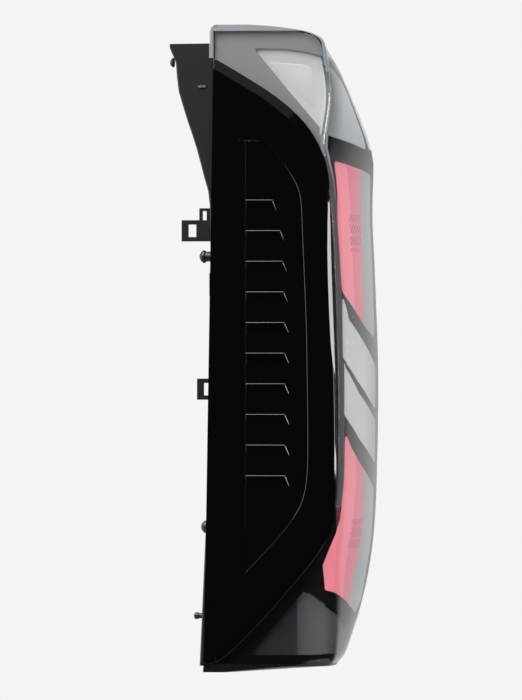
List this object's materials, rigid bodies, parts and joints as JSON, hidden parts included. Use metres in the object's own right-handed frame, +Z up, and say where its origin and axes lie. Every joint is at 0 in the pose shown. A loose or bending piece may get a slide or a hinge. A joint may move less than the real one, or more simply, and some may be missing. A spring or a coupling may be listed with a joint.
{
  "type": "tail light cluster",
  "caption": "Tall car tail lamp that wraps a rear corner: clear lens, black louvred side panel, red guides, pale diffusers, black housing with clips and studs.",
  "frame": {"origin": "middle of the two jamb screw sleeves, at their rear faces, where the screw heads bear", "axes": "+X to the rear of the car along the jamb screws, +Y inboard, +Z up along the lamp's height"},
  "size_m": [0.1392, 0.1718, 0.4993],
  "materials": {
    "clear_acrylic": "gloss",
    "piano_black": "gloss",
    "black_abs": "fine texture",
    "bead": "satin",
    "bezel_black": "satin",
    "bright_reflector": "satin",
    "grey_reflector": "gloss",
    "red_guide": "gloss",
    "pale_diffuser": "satin",
    "white_diffuser": "satin",
    "carrier_grey": "matt",
    "circuit_board": "satin",
    "led_package": "gloss",
    "steel": "zinc plated",
    "pin_brass": "bright",
    "sink_aluminium": "satin",
    "foam": "open foam",
    "vent_white": "matt",
    "black_nylon": "satin",
    "soft_rubber": "matt"
  },
  "bodies": {
    "root": {"outer_lens": "clear_acrylic", "side_louvre_panel": "piano_black", "housing": "black_abs", "lens_seal": "bead", "inner_bezel": "bezel_black", "upper_corner_reflector": "bright_reflector", "lower_corner_reflector": "grey_reflector", "upper_light_guide": "red_guide", "lower_light_guide": "red_guide", "upper_side_diffuser": "pale_diffuser", "lower_side_diffuser": "pale_diffuser", "upper_bar_diffuser": "white_diffuser", "lower_bar_diffuser": "white_diffuser", "bar_reflector": "bright_reflector", "board_carrier": "carrier_grey", "upper_led_board": "circuit_board", "bar_led_board": "circuit_board", "lower_led_board": "circuit_board", "upper_leds": "led_package", "bar_leds": "led_package", "lower_leds": "led_package", "board_screws": "steel", "driver_board": "circuit_board", "driver_cover": "carrier_grey", "heat_sink": "sink_aluminium", "connector_socket": "black_nylon", "connector_pins": "pin_brass", "body_gasket": "foam", "vent_caps": "vent_white", "ball_studs": "black_nylon", "locating_pin": "black_nylon", "screw_sleeves": "steel", "spring_clip": "steel", "rubber_buffer": "soft_rubber"}
  },
  "joints": []
}
